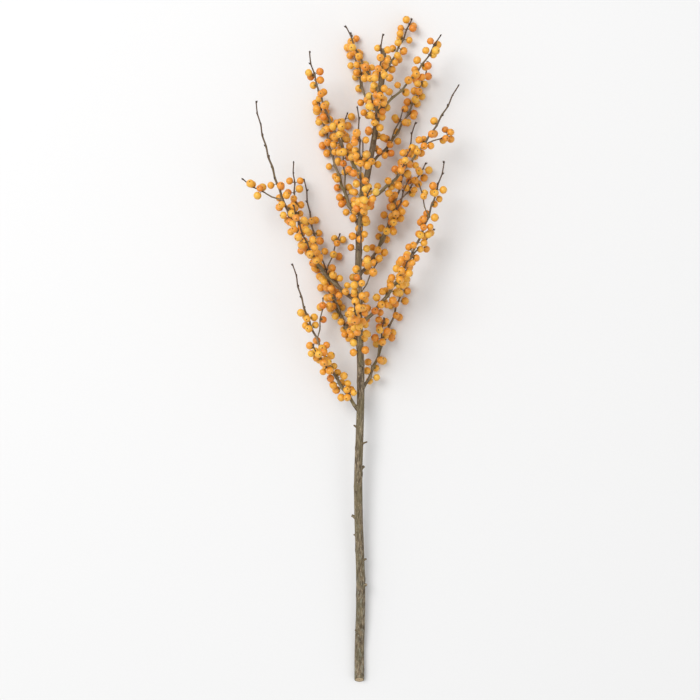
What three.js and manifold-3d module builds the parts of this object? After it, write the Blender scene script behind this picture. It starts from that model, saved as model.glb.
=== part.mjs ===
// A cut winterberry branch laid on a table: one grey leader, a spiral of side shoots that has dropped its
// leaves, and orange berries on short stalks all along the shoots.
// Millimetres. The surface the branch lies on is z = 0, +Z is up, and +Y runs from the cut end to the tip.
// The origin is on that surface, at the middle of the flat spot that the cut end of the leader rests on.
import * as THREE from "three";
import { mergeVertices } from "three/addons/utils/BufferGeometryUtils.js";
import Module from "manifold-3d";

const wasm = await Module();
wasm.setup();

// The leader, which is cut at both ends
const BRANCH_LENGTH = 800;
const LEADER_RADIUS = 6.2;
const LEADER_TOP_RADIUS = 3.2;
const LEADER_SIDES = 10;
const LEADER_STEP = 36;
const REST_LENGTH = 40;
const LEADER_LIFT = 38;
const LEADER_BEND_FROM = 560;
const LEADER_BEND = 32;
const LEADER_SWAY = 1.6;
const SWAY_LENGTH = 270;
const BASE_CUT_SLANT = -0.6;
const TOP_CUT_SLANT = 0.35;
const FLAT_DEPTH = 0.25;

// Stubs of pruned shoots low on the leader
const STUBS_AT = [118, 206, 268];
const STUB_RADIUS = 2.4;
const STUB_TIP_RADIUS = 1.7;
const STUB_REACH = 1.9;
const STUB_LEAN = 58;
const FIRST_STUB_TURN = 40;

// The side shoots: `at` is measured up the leader, `lean` is the angle between the two at the fork,
// `length` is the shoot's own, and `bare` is the share of it, at the tip, that has buds and no berries.
const TURN_PER_SHOOT = 144;
const FIRST_SHOOT_TURN = 162;
const SIDE_SHOOTS = [
  { at: 342, lean: 42, length: 190, bare: 0.3 },
  { at: 368, lean: 46, length: 170, bare: 0.15 },
  { at: 398, lean: 38, length: 180, bare: 0.2 },
  { at: 424, lean: 52, length: 230, bare: 0.2 },
  { at: 452, lean: 50, length: 225, bare: 0.15 },
  { at: 481, lean: 54, length: 275, bare: 0.4 },
  { at: 514, lean: 56, length: 215, bare: 0.15 },
  { at: 545, lean: 40, length: 175, bare: 0.2 },
  { at: 576, lean: 50, length: 195, bare: 0.1 },
  { at: 606, lean: 52, length: 185, bare: 0.3 },
  { at: 633, lean: 50, length: 170, bare: 0.1 },
  { at: 655, lean: 54, length: 150, bare: 0.1 },
  { at: 679, lean: 44, length: 135, bare: 0.2 },
  { at: 701, lean: 46, length: 120, bare: 0.1 },
  { at: 722, lean: 48, length: 105, bare: 0.1 },
  { at: 743, lean: 44, length: 90, bare: 0.3 },
  { at: 764, lean: 40, length: 80, bare: 0.1 },
];
const COLLAR_LENGTH = 5;
const COLLAR_SWELL = 1.18;
const COLLAR_FOOT_SWELL = 1.5;
const JOIN_GAP = 0.3;

// How a shoot grows, and the side twigs on it
const INTERNODE = 14;
const SHOOT_SIDES = 5;
const THICKNESS_PER_LENGTH = 0.0052;
const LEAST_RADIUS = 1.1;
const TIP_RADIUS = 0.75;
const PULL_TO_LIGHT = 0.085;
const WANDER = 0.06;
const ZIGZAG = 0.1;
const TWIG_CLEARANCE = 8.2;
const SETTLE_OVER = 26;
const TWIG_GAP = 1.2;
const TURN_ASIDE = 0.26;
const TURNS_ASIDE = 5;
const FIRST_SIDE_TWIG = 3;
const SIDE_TWIG_EVERY = 4;
const SIDE_TWIG_SHARE = 0.34;
const SIDE_TWIG_SHARE_RANGE = 0.25;
const SIDE_TWIG_LEAN = 46;
const SIDE_TWIG_THICKNESS = 0.62;
const SIDE_TWIG_BARE = 0.2;
const LEAST_TWIG = 34;
const LEAST_TWIG_POINTS = 3;

// Berries and buds
const BERRY_SIDES = 5;
const FACET_SWELL = 1.08;
const BERRY_RADIUS = 4.1;
const BERRY_RADIUS_RANGE = 0.9;
const STALK_RADIUS = 0.65;
const STALK_LENGTH = 1.6;
const STALK_LENGTH_RANGE = 1.6;
const BERRY_GAP = 0.3;
const BERRY_TILT = 0.3;
const TURN_PER_NODE = 144;
const TURN_RANGE = 0.7;
const TURN_UP = 0.25;
const TURNS_UP = 6;
const SET_DOWN_RANGE = 1.5;
const BUD_SIDES = 3;
const BUD_LENGTH = 2.6;
const BUD_RADIUS = 1.1;
const BUD_LEAN = 35;
const BUD_SUNK = 0.4;
const LEADER_BERRIES_FROM = 430;
const SEED = 2028;

const radians = THREE.MathUtils.degToRad;
const smooth = (t) => THREE.MathUtils.smoothstep(t, 0, 1);

// The same numbers from 0 to 1 in the same order on every run.
function seededDraws(seed) {
  let state = seed;
  return () => {
    state = (state * 16807) % 2147483647;
    return state / 2147483647;
  };
}

// The leader's centre line, `s` millimetres from the cut end: flat on the surface at first, then rising
// on the shoots underneath it and swaying a little, with one bend to the right near the top.
function leaderPoint(s) {
  const restHeight = LEADER_RADIUS * Math.cos(Math.PI / LEADER_SIDES) - FLAT_DEPTH;
  const risen = Math.max(0, (s - REST_LENGTH) / (BRANCH_LENGTH - REST_LENGTH));
  const bent = smooth((s - LEADER_BEND_FROM) / (BRANCH_LENGTH - LEADER_BEND_FROM));
  const sway = LEADER_SWAY * Math.sin((2 * Math.PI * Math.max(0, s - REST_LENGTH)) / SWAY_LENGTH);
  const height = restHeight + LEADER_LIFT * risen * (2 - risen);
  return new THREE.Vector3(LEADER_BEND * bent + sway, s - REST_LENGTH / 2, height);
}

function leaderHeading(s) {
  return leaderPoint(s + 1).sub(leaderPoint(s - 1)).normalize();
}

function leaderRadius(s) {
  return THREE.MathUtils.lerp(LEADER_RADIUS, LEADER_TOP_RADIUS, s / BRANCH_LENGTH);
}

// A direction that leans out from `heading` by `lean`, `turn` radians round it. A turn of 0 is to the
// right of a heading along +Y, and a quarter turn is straight up.
function leaningOut(heading, turn, lean) {
  const across = new THREE.Vector3(heading.y, -heading.x, 0).normalize();
  const above = new THREE.Vector3().crossVectors(across, heading);
  return heading
    .clone()
    .multiplyScalar(Math.cos(lean))
    .addScaledVector(across, Math.sin(lean) * Math.cos(turn))
    .addScaledVector(above, Math.sin(lean) * Math.sin(turn));
}

// Everything placed so far, as stretches with a radius: shoots, stalks, and berries, which have no length.
const placed = [];

function distanceToStretch(point, { from, to }) {
  return new THREE.Line3(from, to).closestPointToPoint(point, true, new THREE.Vector3()).distanceTo(point);
}

// True if a ball touches nothing placed, apart from stretches that belong to `owner`.
function isClear(point, radius, gap, owner) {
  return placed.every(
    (stretch) => stretch.owner === owner || distanceToStretch(point, stretch) > radius + stretch.radius + gap,
  );
}

// A shoot or twig, one point for each node. It turns gently to the light, swings left and right at
// its nodes, runs out along the surface when it comes down to it, and turns aside from what is in its way.
function growTwig(owner, root, heading, length, radius, draw) {
  const twig = { owner, points: [root.clone()], radii: [radius], headings: [heading.clone()] };
  const count = Math.round(length / INTERNODE);
  const going = heading.clone();
  let swing = draw() < 0.5 ? ZIGZAG : -ZIGZAG;
  for (let node = 1; node <= count; node++) {
    const last = twig.points.at(-1);
    going.y += PULL_TO_LIGHT;
    going.x += WANDER * (draw() - 0.5);
    going.z += WANDER * (draw() - 0.5);
    going.z = Math.max(going.z, -Math.max(0, last.z - TWIG_CLEARANCE) / SETTLE_OVER);
    going.normalize();
    const aside = new THREE.Vector3(going.y, -going.x, 0).normalize();
    const step = going.clone().addScaledVector(aside, swing).setLength(INTERNODE);
    swing = -swing;
    let next = null;
    for (let tries = 0; tries < TURNS_ASIDE && !next; tries++) {
      const reached = last.clone().add(step);
      reached.z = Math.max(reached.z, TWIG_CLEARANCE);
      const halfway = last.clone().lerp(reached, 0.5);
      if ([halfway, reached].every((point) => isClear(point, radius, TWIG_GAP, owner))) next = reached;
      step.z += TURN_ASIDE * INTERNODE;
      step.setLength(INTERNODE);
    }
    if (!next) break;
    twig.points.push(next);
    twig.radii.push(THREE.MathUtils.lerp(radius, TIP_RADIUS, node / count));
    twig.headings.push(next.clone().sub(last).normalize());
  }
  return twig;
}

function place(twig) {
  twig.points.slice(1).forEach((to, i) => {
    placed.push({ owner: twig.owner, from: twig.points[i], to, radius: twig.radii[i] });
  });
}

// One berry on the given side of a twig's node, or null if there is no room for it.
// A berry that would sink into the surface is turned up round the twig until it rests on it.
function growBerry(twig, node, turn, draw) {
  const radius = BERRY_RADIUS + BERRY_RADIUS_RANGE * draw();
  const reach = twig.radii[node] + STALK_LENGTH + STALK_LENGTH_RANGE * draw() + radius;
  const resting = radius - FLAT_DEPTH;
  const root = twig.points[node];
  const turnUp = Math.cos(turn) < 0 ? -TURN_UP : TURN_UP;
  for (let tries = 0; tries < TURNS_UP; tries++) {
    const out = leaningOut(twig.headings[node], turn + turnUp * tries, Math.PI / 2 - BERRY_TILT);
    const centre = root.clone().addScaledVector(out, reach);
    if (centre.z < resting - SET_DOWN_RANGE) continue;
    if (centre.z < resting + SET_DOWN_RANGE) centre.z = resting;
    const stalkMiddle = root.clone().lerp(centre, 0.5);
    const clear = isClear(centre, FACET_SWELL * radius, BERRY_GAP);
    if (!clear || !isClear(stalkMiddle, STALK_RADIUS, BERRY_GAP, twig.owner)) return null;
    return { root, centre, radius };
  }
  return null;
}

function placeBerry(berry, owner) {
  placed.push({ owner: "berry", from: berry.centre, to: berry.centre, radius: FACET_SWELL * berry.radius });
  placed.push({ owner, from: berry.root, to: berry.centre, radius: STALK_RADIUS });
}

// Solids

function solidOf(geometry) {
  geometry.deleteAttribute("normal");
  geometry.deleteAttribute("uv");
  const { attributes, index } = mergeVertices(geometry, 1e-4);
  const mesh = new wasm.Mesh({
    numProp: 3,
    vertProperties: attributes.position.array,
    triVerts: new Uint32Array(index.array),
  });
  return new wasm.Manifold(mesh);
}

function meshOf(solid, name, material) {
  const { vertProperties, triVerts } = solid.getMesh();
  const geometry = new THREE.BufferGeometry();
  geometry.setAttribute("position", new THREE.BufferAttribute(new Float32Array(vertProperties), 3));
  geometry.setIndex(new THREE.BufferAttribute(triVerts, 1));
  geometry.computeVertexNormals();
  const mesh = new THREE.Mesh(geometry, material);
  mesh.name = name;
  return mesh;
}

// A round rod through `points`, as thick at each as `radii` says: a cylinder bent to the route ring by ring.
// `ends` can give the way its first ring faces, and how much each end is cut on the slant.
function rod(points, radii, sides, ends = {}) {
  const last = points.length - 1;
  const geometry = new THREE.CylinderGeometry(1, 1, 1, sides, last);
  const position = geometry.getAttribute("position");
  const side = new THREE.Vector3(0, 0, -1);
  const rings = points.map((point, i) => {
    const along = points[Math.min(i + 1, last)].clone().sub(points[Math.max(i - 1, 0)]).normalize();
    if (i === 0 && ends.facing) along.copy(ends.facing);
    side.addScaledVector(along, -side.dot(along)).normalize();
    return { along, side: side.clone(), front: new THREE.Vector3().crossVectors(side, along) };
  });
  for (let v = 0; v < position.count; v++) {
    const i = Math.round((position.getY(v) + 0.5) * last);
    const slant = (i === 0 ? ends.startSlant : i === last ? ends.endSlant : 0) ?? 0;
    const [x, z] = [position.getX(v) * radii[i], position.getZ(v) * radii[i]];
    const at = points[i].clone().addScaledVector(rings[i].side, x).addScaledVector(rings[i].front, z);
    at.addScaledVector(rings[i].along, slant * x);
    position.setXYZ(v, at.x, at.y, at.z);
  }
  return solidOf(geometry);
}

// A ball of even triangles, every ring turned half a side from the one above it. Its lowest ring is drawn
// in to a stalk, which ends at the root inside the twig.
function berrySolid({ root, centre, radius }) {
  const reach = root.distanceTo(centre);
  const size = FACET_SWELL * radius;
  const rings = [
    { along: reach + size, out: 0 },
    { along: reach + 0.447 * size, out: 0.894 * size },
    { along: reach - 0.447 * size, out: 0.894 * size },
    { along: reach - 0.94 * size, out: STALK_RADIUS },
    { along: 0, out: 0 },
  ];
  const geometry = new THREE.SphereGeometry(1, BERRY_SIDES, rings.length - 1);
  const position = geometry.getAttribute("position");
  for (let v = 0; v < position.count; v++) {
    const i = Math.round((Math.acos(position.getY(v)) / Math.PI) * (rings.length - 1));
    const angle = Math.atan2(position.getZ(v), position.getX(v)) + (i * Math.PI) / BERRY_SIDES;
    position.setXYZ(v, rings[i].out * Math.cos(angle), rings[i].along, rings[i].out * Math.sin(angle));
  }
  const outward = centre.clone().sub(root).normalize();
  geometry.applyQuaternion(new THREE.Quaternion().setFromUnitVectors(new THREE.Vector3(0, 1, 0), outward));
  geometry.translate(root.x, root.y, root.z);
  return solidOf(geometry);
}

// A small pointed bud that sits in the angle of a bare node.
function budSolid(twig, node, turn) {
  const out = leaningOut(twig.headings[node], turn, radians(BUD_LEAN));
  const middle = twig.points[node].clone().addScaledVector(out, BUD_LENGTH / 2 - BUD_SUNK);
  const geometry = new THREE.SphereGeometry(1, BUD_SIDES, 2);
  geometry.scale(BUD_RADIUS, BUD_LENGTH, BUD_RADIUS);
  geometry.applyQuaternion(new THREE.Quaternion().setFromUnitVectors(new THREE.Vector3(0, 1, 0), out));
  geometry.translate(middle.x, middle.y, middle.z);
  return solidOf(geometry);
}

const surface = solidOf(new THREE.BoxGeometry(4 * BRANCH_LENGTH, 4 * BRANCH_LENGTH, 60).translate(0, 0, -30));

// Fuses one piece and takes off what would sink into the surface, which leaves it small flats to rest on.
function fused(solids) {
  return wasm.Manifold.union(solids).subtract(surface);
}

// Growth. The wood is placed first, so that every berry is tested against all of it.

const draw = seededDraws(SEED);

const leaderCount = Math.round(BRANCH_LENGTH / LEADER_STEP);
const leaderAt = Array.from({ length: leaderCount + 1 }, (_, i) => (i * BRANCH_LENGTH) / leaderCount);
const leader = {
  owner: "leader",
  points: leaderAt.map(leaderPoint),
  radii: leaderAt.map(leaderRadius),
  headings: leaderAt.map(leaderHeading),
};
place(leader);

// A fork's middle and heading, the shoot's thickness there, and where its collar ends and the shoot begins.
function forkOf({ at, lean, length }, index) {
  const turn = radians(FIRST_SHOOT_TURN + TURN_PER_SHOOT * index);
  const heading = leaningOut(leaderHeading(at), turn, radians(lean));
  const radius = LEAST_RADIUS + THICKNESS_PER_LENGTH * length;
  const collar = leaderRadius(at) / Math.sin(radians(lean)) + COLLAR_LENGTH;
  const root = leaderPoint(at).addScaledVector(heading, collar + JOIN_GAP);
  return { middle: leaderPoint(at), heading, radius, root, collar };
}

const shootName = (index) => `side_shoot_${String(index + 1).padStart(2, "0")}`;
const forks = SIDE_SHOOTS.map(forkOf);
forks.forEach(({ middle, root, radius }, index) => {
  placed.push({ owner: shootName(index), from: middle, to: root, radius: radius * COLLAR_SWELL });
});

const shoots = SIDE_SHOOTS.map(({ length, bare }, index) => {
  const { root, heading, radius } = forks[index];
  const main = growTwig(shootName(index), root, heading, length, radius, draw);
  main.bare = bare;
  place(main);
  return { name: shootName(index), twigs: [main] };
});

shoots.forEach(({ name, twigs }) => {
  const main = twigs[0];
  const nodes = main.points.length - 1;
  for (let node = FIRST_SIDE_TWIG; node < nodes * (1 - main.bare); node += SIDE_TWIG_EVERY) {
    const length = (SIDE_TWIG_SHARE + SIDE_TWIG_SHARE_RANGE * draw()) * (nodes - node) * INTERNODE;
    const turn = radians(TURN_PER_NODE * node) + TURN_RANGE * draw();
    if (length < LEAST_TWIG) continue;
    const heading = leaningOut(main.headings[node], turn, radians(SIDE_TWIG_LEAN));
    const radius = SIDE_TWIG_THICKNESS * main.radii[node];
    const twig = growTwig(name, main.points[node], heading, length, radius, draw);
    if (twig.points.length < LEAST_TWIG_POINTS) continue;
    twig.bare = SIDE_TWIG_BARE * draw();
    place(twig);
    twigs.push(twig);
  }
});

// One berry at each node from `firstNode` on, and one bud at each node of the bare tip.
function bearBerries(twig, firstNode) {
  const nodes = twig.points.length - 1;
  const berries = [];
  const buds = [];
  for (let node = firstNode; node <= nodes; node++) {
    const turn = radians(TURN_PER_NODE * node) + TURN_RANGE * draw();
    if (node > nodes * (1 - twig.bare)) {
      buds.push({ node, turn });
      continue;
    }
    const berry = growBerry(twig, node, turn, draw);
    if (!berry) continue;
    placeBerry(berry, twig.owner);
    berries.push(berry);
  }
  return { twig, berries, buds };
}

const leaderWithoutTop = { ...leader, points: leader.points.slice(0, -1), bare: 0 };
const leaderBerries = bearBerries(leaderWithoutTop, Math.round(LEADER_BERRIES_FROM / LEADER_STEP)).berries;
const borne = shoots.map(({ name, twigs }) => ({
  name,
  growth: twigs.map((twig, order) => bearBerries(twig, order === 0 ? 1 : 2)),
}));

// The pieces

const bark = new THREE.MeshStandardMaterial({ color: 0x75695a, roughness: 0.85, metalness: 0 });

function leaderMesh() {
  const ends = { startSlant: BASE_CUT_SLANT, endSlant: TOP_CUT_SLANT };
  const wood = rod(leader.points, leader.radii, LEADER_SIDES, ends);
  const collars = forks.map(({ middle, heading, radius, collar }) => {
    const end = middle.clone().addScaledVector(heading, collar);
    return rod([middle, end], [radius * COLLAR_FOOT_SWELL, radius * COLLAR_SWELL], SHOOT_SIDES);
  });
  const stubs = STUBS_AT.map((at, index) => {
    const turn = radians(FIRST_STUB_TURN + TURN_PER_SHOOT * index);
    const heading = leaningOut(leaderHeading(at), turn, radians(STUB_LEAN));
    const from = leaderPoint(at);
    const to = from.clone().addScaledVector(heading, STUB_REACH * leaderRadius(at));
    return rod([from, to], [STUB_RADIUS, STUB_TIP_RADIUS], SHOOT_SIDES);
  });
  return meshOf(fused([wood, ...collars, ...stubs, ...leaderBerries.map(berrySolid)]), "leader", bark);
}

function shootMesh({ name, growth }) {
  const solids = growth.flatMap(({ twig, berries, buds }) => [
    rod(twig.points, twig.radii, SHOOT_SIDES, { facing: twig.headings[0] }),
    ...berries.map(berrySolid),
    ...buds.map(({ node, turn }) => budSolid(twig, node, turn)),
  ]);
  const berrySkin = new THREE.MeshStandardMaterial({ color: 0xf0a040, roughness: 0.4, metalness: 0 });
  return meshOf(fused(solids), name, berrySkin);
}

const branch = new THREE.Group();
branch.add(leaderMesh(), ...borne.map(shootMesh));

export default branch;
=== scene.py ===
"""A cut winterberry branch with orange berries, lying on a white table and seen from straight above.

Metres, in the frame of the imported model: the table is z = 0, +Z is up, and +Y runs from the cut end to the
tip. The wood and the berries grow by the same rule and the same seeded draws as the model's, so every shoot
and berry of the model is found here again in fine detail, and more berries hang in the room between them.
"""

from math import acos, cos, exp, pi, radians, sin, tau

import bmesh
import bpy
import numpy as np
from mathutils import Matrix, Vector, noise


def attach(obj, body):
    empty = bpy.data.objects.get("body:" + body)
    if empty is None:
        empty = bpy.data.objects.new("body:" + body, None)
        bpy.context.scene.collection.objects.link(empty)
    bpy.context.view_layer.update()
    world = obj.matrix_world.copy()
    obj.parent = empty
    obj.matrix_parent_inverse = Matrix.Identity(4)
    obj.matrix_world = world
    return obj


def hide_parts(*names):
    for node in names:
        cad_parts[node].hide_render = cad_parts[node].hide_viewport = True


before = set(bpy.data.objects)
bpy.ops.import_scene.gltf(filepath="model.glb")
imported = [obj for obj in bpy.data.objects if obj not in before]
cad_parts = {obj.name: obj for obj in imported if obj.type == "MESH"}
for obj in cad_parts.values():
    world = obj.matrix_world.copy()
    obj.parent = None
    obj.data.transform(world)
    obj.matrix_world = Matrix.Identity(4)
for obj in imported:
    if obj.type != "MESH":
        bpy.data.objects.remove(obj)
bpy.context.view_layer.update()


# The leader is the main stem, cut off at both ends. Its grey-brown bark is finely streaked along the grain,
# with pale pores, old leaf scars and lichen low down. It carries a flared collar under every side shoot, the
# stubs of three shoots that were pruned off, and a few short dead pegs.

BRANCH_LENGTH = 0.8
LEADER_RADIUS = 0.0062
LEADER_TOP_RADIUS = 0.0032
LEADER_STEP = 0.036
FLAT_DEPTH = 0.00025
MODEL_LEADER_FACETS = 10
REST_HEIGHT = LEADER_RADIUS * cos(pi / MODEL_LEADER_FACETS) - FLAT_DEPTH
REST_LENGTH = 0.04
LEADER_LIFT = 0.038
LEADER_BEND_FROM = 0.56
LEADER_BEND = 0.032
LEADER_SWAY = 0.0016
SWAY_LENGTH = 0.27
BASE_CUT_SLANT = -0.6
TOP_CUT_SLANT = 0.35
HEADING_STEP = 0.001

STUBS_AT = (0.118, 0.206, 0.268)
STUB_RADIUS = 0.0024
STUB_TIP_RADIUS = 0.0017
STUB_REACH = 1.9
STUB_LEAN = radians(58)
FIRST_STUB_TURN = radians(40)

TURN_PER_NODE = radians(144)
FIRST_SHOOT_TURN = radians(162)
SIDE_SHOOTS = [  # (place up the leader, lean in degrees, length, share of it without berries, at the tip)
    (0.342, 42, 0.190, 0.3),
    (0.368, 46, 0.170, 0.15),
    (0.398, 38, 0.180, 0.2),
    (0.424, 52, 0.230, 0.2),
    (0.452, 50, 0.225, 0.15),
    (0.481, 54, 0.275, 0.4),
    (0.514, 56, 0.215, 0.15),
    (0.545, 40, 0.175, 0.2),
    (0.576, 50, 0.195, 0.1),
    (0.606, 52, 0.185, 0.3),
    (0.633, 50, 0.170, 0.1),
    (0.655, 54, 0.150, 0.1),
    (0.679, 44, 0.135, 0.2),
    (0.701, 46, 0.120, 0.1),
    (0.722, 48, 0.105, 0.1),
    (0.743, 44, 0.090, 0.3),
    (0.764, 40, 0.080, 0.1),
]
COLLAR_LENGTH = 0.005
COLLAR_SWELL = 1.18
JOIN_GAP = 0.0003
THICKNESS_PER_LENGTH = 0.0052
LEAST_RADIUS = 0.0011

LEADER_FACETS = 24
LEADER_RING_STEP = 0.0025
LEADER_SWELLS = [  # (height, fineness round the stem, fineness along it, place in the noise)
    (0.00022, 1.7, 38, 0),
    (0.00014, 3.5, 9, 20),
]
CUT_FADE = 0.012
BARK_RIM = 0.00085
FIRST_SCAR = 2
SCAR_STEP = 0.027
SCAR_STRAY = 0.006
SCAR_HEIGHT = 0.0007
SCAR_WIDTH = 0.0034
COLLAR_FACETS = 12
COLLAR_SHAPE = [  # (distance from the leader's surface, radius, and what the crotch adds, over the shoot's)
    (-0.0045, 1.35, 0.90),
    (-0.0020, 1.38, 0.90),
    (-0.0006, 1.36, 0.86),
    (0.0005, 1.30, 0.76),
    (0.0014, 1.22, 0.62),
    (0.0023, 1.17, 0.46),
    (0.0031, 1.13, 0.30),
    (0.0038, 1.12, 0.17),
    (0.0044, 1.07, 0.08),
    (0.0048, 1.08, 0.02),
    (0.0052, 1.01, 0.0),
]
STUB_SHAPE = [  # (distance from the leader's middle, over its radius; radius over the stub's)
    (0.3, 1.5),
    (0.85, 1.4),
    (1.05, 1.18),
    (1.25, 1.05),
    (1.5, 1.0),
    (1.82, 1.02),
    (1.9, 0.98),
]
STUB_RIM = 0.4 * BARK_RIM
PEGS = [  # (place up the leader, turn round it, length outside it, radius)
    (0.061, 2.4, 0.0030, 0.0011),
    (0.152, 0.6, 0.0045, 0.0013),
    (0.183, 3.6, 0.0025, 0.0010),
    (0.239, 2.0, 0.0050, 0.0012),
    (0.301, 0.3, 0.0060, 0.0011),
    (0.322, 3.0, 0.0035, 0.0012),
    (0.389, 1.3, 0.0050, 0.0010),
    (0.467, 2.5, 0.0040, 0.0009),
    (0.532, 0.9, 0.0045, 0.0009),
    (0.618, 2.2, 0.0035, 0.0008),
    (0.690, 1.0, 0.0040, 0.0008),
]
PEG_LEAN = radians(66)
PEG_FACETS = 6
PEG_SHAPE = [  # (height over the peg's length, radius over the peg's)
    (-0.6, 1.7),
    (0.0, 1.5),
    (0.15, 1.15),
    (0.4, 1.0),
    (0.75, 0.92),
    (0.95, 0.8),
    (1.0, 0.45),
]
STUB_GRAIN, COLLAR_GRAIN, PEG_GRAIN = 2, 3, 4  # where in the bark's pattern each of them starts, in metres
CUT_WOOD = 1  # its place among the finishes of leader_wood


def mix(low, high, share):
    return (1 - share) * low + share * high


def unit(vector):
    return vector / np.linalg.norm(vector)


def leader_point(s):
    risen = max(0, (s - REST_LENGTH) / (BRANCH_LENGTH - REST_LENGTH))
    bent = min(1, max(0, (s - LEADER_BEND_FROM) / (BRANCH_LENGTH - LEADER_BEND_FROM)))
    sway = LEADER_SWAY * sin(tau * max(0, s - REST_LENGTH) / SWAY_LENGTH)
    return np.array((
        LEADER_BEND * bent * bent * (3 - 2 * bent) + sway,
        s - REST_LENGTH / 2,
        REST_HEIGHT + LEADER_LIFT * risen * (2 - risen),
    ))


def leader_heading(s):
    return unit(leader_point(s + HEADING_STEP) - leader_point(s - HEADING_STEP))


def leader_radius(s):
    return mix(LEADER_RADIUS, LEADER_TOP_RADIUS, s / BRANCH_LENGTH)


def leaning_out(heading, turn, lean):
    """A direction `lean` away from `heading`, `turn` round it: 0 is to the right, a quarter turn is up."""
    across = unit(np.array((heading[1], -heading[0], 0)))
    above = np.cross(across, heading)
    return cos(lean) * heading + sin(lean) * (cos(turn) * across + sin(turn) * above)


def new_wood():
    """An empty mesh whose points know their place in the grain, and how far up the shoot they are."""
    wood = bmesh.new()
    wood.verts.layers.float_vector.new("grain")
    wood.verts.layers.float.new("share")
    return wood


def grow_stem(
    wood, points, radii, facets, swelling=None, facing=None, slants=(0, 0), starts_at=0, shares=(0, 1)
):
    """A stem: a circle that is extruded from point to point, each ring of it square to the line.

    `swelling` says how far each place stands proud. `starts_at` and `shares` go into the grain and the share
    up the shoot, which the finishes read. Returns the two faces that close the ends.
    """
    grain = wood.verts.layers.float_vector["grain"]
    share = wood.verts.layers.float["share"]
    points = [Vector(point) for point in points]
    last = len(points) - 1
    reached = [0.0]
    for start, end in zip(points, points[1:]):
        reached.append(reached[-1] + (end - start).length)
    ring = bmesh.ops.create_circle(wood, segments=facets, radius=1)["verts"]
    for corner in ring:
        corner[grain] = corner.co
    first_edges = edges = list(dict.fromkeys(edge for corner in ring for edge in corner.link_edges))
    side = Vector((0, 0, -1))
    for i, (point, radius, s) in enumerate(zip(points, radii, reached)):
        if i > 0:
            made = bmesh.ops.extrude_edge_only(wood, edges=edges)["geom"]
            ring = [item for item in made if isinstance(item, bmesh.types.BMVert)]
            edges = [item for item in made if isinstance(item, bmesh.types.BMEdge) and item.is_boundary]
            for item in made:
                if isinstance(item, bmesh.types.BMFace):
                    item.smooth = True
        along = (points[min(i + 1, last)] - points[max(i - 1, 0)]).normalized()
        if i == 0 and facing is not None:
            along = Vector(facing)
        side = (side - along * side.dot(along)).normalized()
        front = side.cross(along)
        slant = slants[0] * max(0, 1 - s / CUT_FADE) + slants[1] * max(0, 1 - (reached[-1] - s) / CUT_FADE)
        for corner in ring:
            x, y = corner[grain].xy.normalized()
            out = side * x + front * y
            size = radius + (swelling(s, out) if swelling else 0)
            corner.co = point + out * size + along * (slant * x * radius)
            corner[grain] = (x * radius, y * radius, starts_at + s)
            corner[share] = mix(*shares, s / reached[-1])
    return [bmesh.ops.edgeloop_fill(wood, edges=loop)["faces"][0] for loop in (first_edges, edges)]


def cut_across(wood, end, radius, rim):
    """Makes one end of a stem a cut: a rim of bark round a disc of pale wood."""
    grain = wood.verts.layers.float_vector["grain"]
    bmesh.ops.inset_region(wood, faces=[end], thickness=rim)
    for corner in end.verts:
        x, y, s = corner[grain]
        corner[grain] = (x * (1 - rim / radius), y * (1 - rim / radius), s)
    centre = bmesh.ops.poke(wood, faces=[end])
    for corner in centre["verts"]:
        corner[grain] = (0, 0, corner[grain].z)
    for face in centre["faces"]:
        face.material_index = CUT_WOOD


scars = []
for index in range(FIRST_SCAR, int(BRANCH_LENGTH / SCAR_STEP)):
    s = index * SCAR_STEP + SCAR_STRAY * sin(2.3 * index)
    scars.append((s, Vector(leaning_out(leader_heading(s), TURN_PER_NODE * index, pi / 2))))


def leader_swelling(s, out):
    """Low lengthwise swells and hollows, and the cushion under each old leaf scar."""
    proud = 0
    for height, around, along, place in LEADER_SWELLS:
        proud += height * noise.noise(Vector((around * out.x, around * out.z, along * s + place)))
    for scar_at, scar_out in scars:
        if abs(s - scar_at) < 3 * SCAR_WIDTH:
            facing = max(0, out.dot(scar_out))
            proud += SCAR_HEIGHT * facing**3 * exp(-(((s - scar_at) / SCAR_WIDTH) ** 2))
    return proud


wood = new_wood()
ring_count = round(BRANCH_LENGTH / LEADER_RING_STEP)
ring_at = [BRANCH_LENGTH * i / ring_count for i in range(ring_count + 1)]
foot, top = grow_stem(
    wood,
    [leader_point(s) for s in ring_at],
    [leader_radius(s) for s in ring_at],
    LEADER_FACETS,
    swelling=leader_swelling,
    slants=(BASE_CUT_SLANT, TOP_CUT_SLANT),
)
cut_across(wood, foot, LEADER_RADIUS, BARK_RIM)
cut_across(wood, top, LEADER_TOP_RADIUS, BARK_RIM)

for index, at in enumerate(STUBS_AT):
    heading = leaning_out(leader_heading(at), FIRST_STUB_TURN + TURN_PER_NODE * index, STUB_LEAN)
    share = at / BRANCH_LENGTH
    foot, top = grow_stem(
        wood,
        [leader_point(at) + heading * distance * leader_radius(at) for distance, _ in STUB_SHAPE],
        [flare * mix(STUB_RADIUS, STUB_TIP_RADIUS, distance / STUB_REACH) for distance, flare in STUB_SHAPE],
        COLLAR_FACETS,
        starts_at=STUB_GRAIN + at,
        shares=(share, share),
    )
    cut_across(wood, top, STUB_TIP_RADIUS, STUB_RIM)

for at, turn, length, radius in PEGS:
    heading = leaning_out(leader_heading(at), turn, PEG_LEAN)
    foot = leader_point(at) + heading * leader_radius(at) / sin(PEG_LEAN)
    grow_stem(
        wood,
        [foot + heading * (distance * length) for distance, _ in PEG_SHAPE],
        [width * radius for _, width in PEG_SHAPE],
        PEG_FACETS,
        starts_at=PEG_GRAIN + at,
        shares=(at / BRANCH_LENGTH, 1),
    )

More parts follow.
